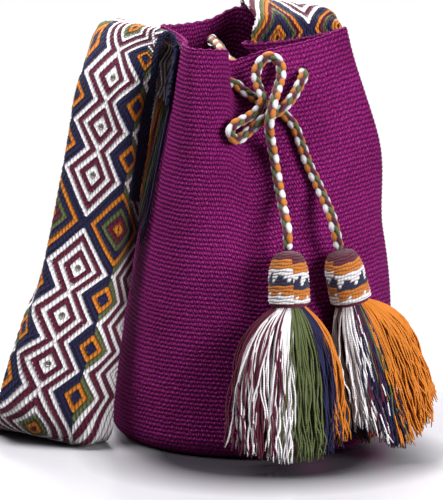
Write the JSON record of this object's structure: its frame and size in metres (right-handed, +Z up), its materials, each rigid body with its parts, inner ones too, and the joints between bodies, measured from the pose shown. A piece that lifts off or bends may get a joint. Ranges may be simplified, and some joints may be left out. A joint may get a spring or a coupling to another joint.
{
  "type": "crochet bucket bag",
  "caption": "Soft crocheted bucket bag with a drawstring mouth, hanging tassels and a wide patterned shoulder strap with fringed ends.",
  "frame": {"origin": "centre of the round base, on the ground that the bag stands on", "axes": "+Z up, -Y out of the front where the bow and tassels hang, +X to the right as seen from the front"},
  "size_m": [0.3329, 0.2667, 0.3181],
  "materials": {
    "plum_crochet": "matt single crochet in plum purple thread",
    "strap_pattern": "matt oblique interlaced thread in nested diamonds of white, maroon, navy, orange and green",
    "cord_braid": "matt round braid of white, orange, green and maroon strands",
    "cap_pattern": "matt crochet in bands of maroon, orange and white with navy stepped figures",
    "white_thread": "matt plied thread",
    "maroon_thread": "matt plied thread",
    "orange_thread": "matt plied thread",
    "green_thread": "matt plied thread",
    "navy_thread": "matt plied thread"
  },
  "bodies": {
    "bag": {"bag_body": "plum_crochet", "shoulder_strap": "strap_pattern", "drawstring": "cord_braid", "fringe_left_white": "white_thread", "fringe_left_orange": "orange_thread", "fringe_left_green": "green_thread", "fringe_left_navy": "navy_thread", "fringe_right_white": "white_thread", "fringe_right_orange": "orange_thread", "fringe_right_green": "green_thread", "fringe_right_navy": "navy_thread"},
    "tassel_left": {"tassel_left_cap": "cap_pattern", "tassel_left_binding": "maroon_thread", "tassel_left_maroon": "maroon_thread", "tassel_left_white": "white_thread", "tassel_left_green": "green_thread", "tassel_left_navy": "navy_thread", "tassel_left_orange": "orange_thread"},
    "tassel_right": {"tassel_right_cap": "cap_pattern", "tassel_right_binding": "maroon_thread", "tassel_right_maroon": "maroon_thread", "tassel_right_white": "white_thread", "tassel_right_green": "green_thread", "tassel_right_navy": "navy_thread", "tassel_right_orange": "orange_thread"}
  },
  "joints": [
    {"name": "tassel_left_swing", "type": "hinge", "parent": "bag", "child": "tassel_left", "pos_m": [0.02585, -0.11021, 0.15657], "axis": [-0.9736, -0.2284, 0], "range_deg": [0, 60]},
    {"name": "tassel_right_swing", "type": "hinge", "parent": "bag", "child": "tassel_right", "pos_m": [0.06166, -0.09754, 0.15489], "axis": [-0.7493, -0.6287, -0.2079], "range_deg": [0, 60]}
  ]
}
